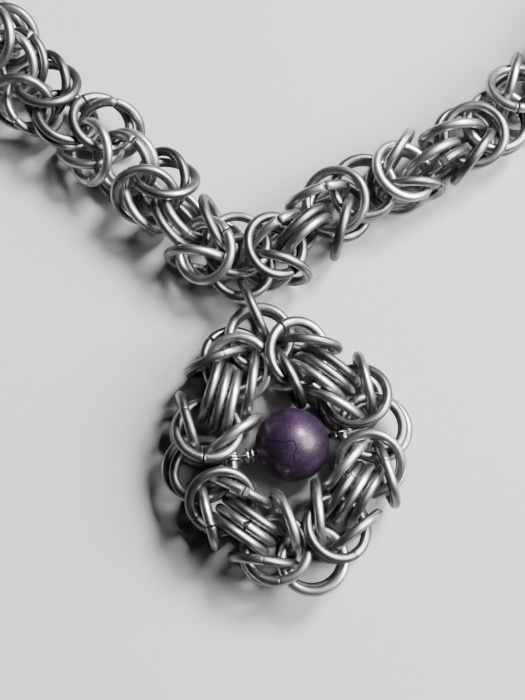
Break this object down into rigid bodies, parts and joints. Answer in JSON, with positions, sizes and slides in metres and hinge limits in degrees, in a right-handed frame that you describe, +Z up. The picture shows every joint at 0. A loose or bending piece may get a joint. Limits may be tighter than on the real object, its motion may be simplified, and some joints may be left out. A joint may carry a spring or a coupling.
{
  "type": "chainmail necklace",
  "caption": "Byzantine weave necklace of round steel jump rings with a diamond-shaped woven pendant round a violet stone bead.",
  "frame": {"origin": "on the table under the middle of the necklace's bounding box", "axes": "+Z up off the table it lies on, +Y from the pendant toward the clasp at the back of the neck, +X to the right in the picture"},
  "size_m": [0.1446, 0.1934, 0.0124],
  "materials": {
    "steel": "drawn wire, satin grey",
    "violet_stone": "satin polished, dyed violet",
    "binding_wire": "bright drawn wire"
  },
  "bodies": {
    "root": {"bead": "violet_stone", "bead_binding_wire": "binding_wire", "centre_ring_lower": "steel", "centre_ring_upper": "steel", "clasp_link": "steel", "corner_bottom_ring_1": "steel", "corner_bottom_ring_2": "steel", "corner_left_ring_1": "steel", "corner_left_ring_2": "steel", "corner_right_ring_1": "steel", "corner_right_ring_2": "steel", "corner_top_ring_1": "steel", "corner_top_ring_2": "steel", "jump_ring": "steel", "knot_1_back_ring": "steel", "knot_1_edge_rings": "steel", "knot_1_front_ring": "steel", "knot_2_back_ring": "steel", "knot_2_edge_rings": "steel", "knot_2_front_ring": "steel", "knot_3_back_ring": "steel", "knot_3_edge_rings": "steel", "knot_3_front_ring": "steel", "knot_4_back_ring": "steel", "knot_4_edge_rings": "steel", "knot_4_front_ring": "steel", "knot_5_back_ring": "steel", "knot_5_edge_rings": "steel", "knot_5_front_ring": "steel", "knot_6_back_ring": "steel", "knot_6_edge_rings": "steel", "knot_6_front_ring": "steel", "knot_7_back_ring": "steel", "knot_7_edge_rings": "steel", "knot_7_front_ring": "steel", "knot_8_back_ring": "steel", "knot_8_edge_rings": "steel", "knot_8_front_ring": "steel", "neck_chain_left": "steel", "neck_chain_right": "steel", "side_lower_left_ring_1": "steel", "side_lower_left_ring_2": "steel", "side_lower_left_ring_3": "steel", "side_lower_right_ring_1": "steel", "side_lower_right_ring_2": "steel", "side_lower_right_ring_3": "steel", "side_upper_left_ring_1": "steel", "side_upper_left_ring_2": "steel", "side_upper_left_ring_3": "steel", "side_upper_right_ring_1": "steel", "side_upper_right_ring_2": "steel", "side_upper_right_ring_3": "steel"}
  },
  "joints": []
}
